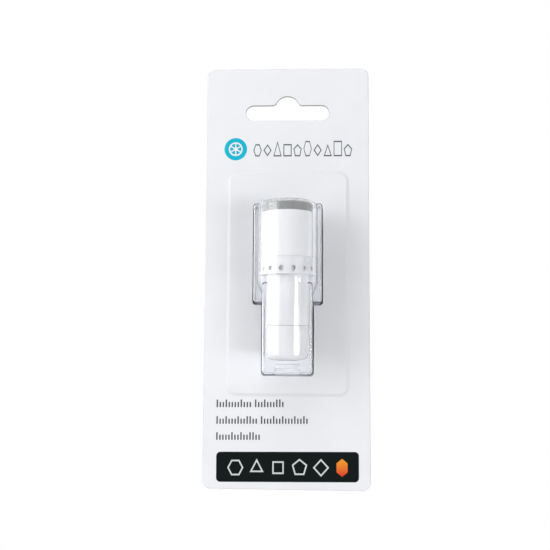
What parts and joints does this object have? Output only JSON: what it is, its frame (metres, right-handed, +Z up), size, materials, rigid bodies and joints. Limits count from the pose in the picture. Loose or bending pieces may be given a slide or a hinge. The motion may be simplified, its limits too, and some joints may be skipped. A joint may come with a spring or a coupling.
{
  "type": "blister-packed rotary blade tool",
  "caption": "Round rotary blade tool with a guard cap for a desktop craft cutter, sealed in a stepped clear blister on a white hang card with a hang slot.",
  "frame": {"origin": "the hang point: the top of the hang slot's round hump, on the card's centre line, in the plane of the card's back face", "axes": "+X to the right as the printed front is read, +Y out of the card's back, +Z up the card"},
  "size_m": [0.062, 0.0221, 0.159],
  "materials": {
    "coated_card": "satin coated paperboard",
    "clear_film": "clear thermoformed film",
    "white_plastic": "glossy moulded plastic",
    "milky_plastic": "milky translucent moulded plastic",
    "grey_plastic": "satin moulded plastic",
    "brass": "turned",
    "spring_steel": "blued",
    "bearing_steel": "ground",
    "ball_steel": "polished",
    "pressed_steel": "pressed",
    "shaft_steel": "ground",
    "aluminium_tube": "turned",
    "fork_steel": "satin",
    "blade_steel": "ground to a bright edge",
    "bush_plastic": "satin"
  },
  "bodies": {
    "pack": {"front_card": "coated_card", "rear_card": "coated_card", "blister_shell": "clear_film"},
    "tool": {"main_barrel": "white_plastic", "index_collar": "milky_plastic", "upper_sleeve": "white_plastic", "top_cap": "grey_plastic", "retainer_ring": "brass", "preload_washer": "spring_steel", "upper_outer_race": "bearing_steel", "lower_outer_race": "bearing_steel"},
    "guard": {"guard_cap": "white_plastic"},
    "swivel": {"swivel_shaft": "shaft_steel", "shaft_spacer": "aluminium_tube", "shaft_clip": "spring_steel", "upper_inner_race": "bearing_steel", "lower_inner_race": "bearing_steel", "blade_fork": "fork_steel", "blade_axle": "shaft_steel", "axle_clip": "spring_steel", "blade_bushes": "bush_plastic"},
    "blade": {"blade_wheel": "blade_steel"},
    "upper_ball_ring": {"upper_balls": "ball_steel", "upper_cage": "pressed_steel"},
    "lower_ball_ring": {"lower_balls": "ball_steel", "lower_cage": "pressed_steel"}
  },
  "joints": [
    {"name": "tool_turn", "type": "hinge", "parent": "pack", "child": "tool", "pos_m": [0.0003, -0.0114, -0.0994], "axis": [0, 0, 1], "continuous": true},
    {"name": "cap_pull", "type": "slide", "parent": "tool", "child": "guard", "axis": [0, 0, -1], "range_m": [0, 0.001]},
    {"name": "blade_swivel", "type": "hinge", "parent": "tool", "child": "swivel", "pos_m": [0.0003, -0.0114, -0.0994], "axis": [0, 0, 1], "continuous": true},
    {"name": "blade_spin", "type": "hinge", "parent": "swivel", "child": "blade", "pos_m": [0.0003, -0.0106, -0.0918], "axis": [1, 0, 0], "continuous": true},
    {"name": "upper_ball_orbit", "type": "hinge", "parent": "tool", "child": "upper_ball_ring", "pos_m": [0.0003, -0.0114, -0.0994], "axis": [0, 0, 1], "continuous": true},
    {"name": "lower_ball_orbit", "type": "hinge", "parent": "tool", "child": "lower_ball_ring", "pos_m": [0.0003, -0.0114, -0.0994], "axis": [0, 0, 1], "continuous": true}
  ],
  "couplings": [
    {"joint": "upper_ball_orbit", "follows": "blade_swivel", "ratio": 0.36364},
    {"joint": "lower_ball_orbit", "follows": "blade_swivel", "ratio": 0.36364}
  ]
}
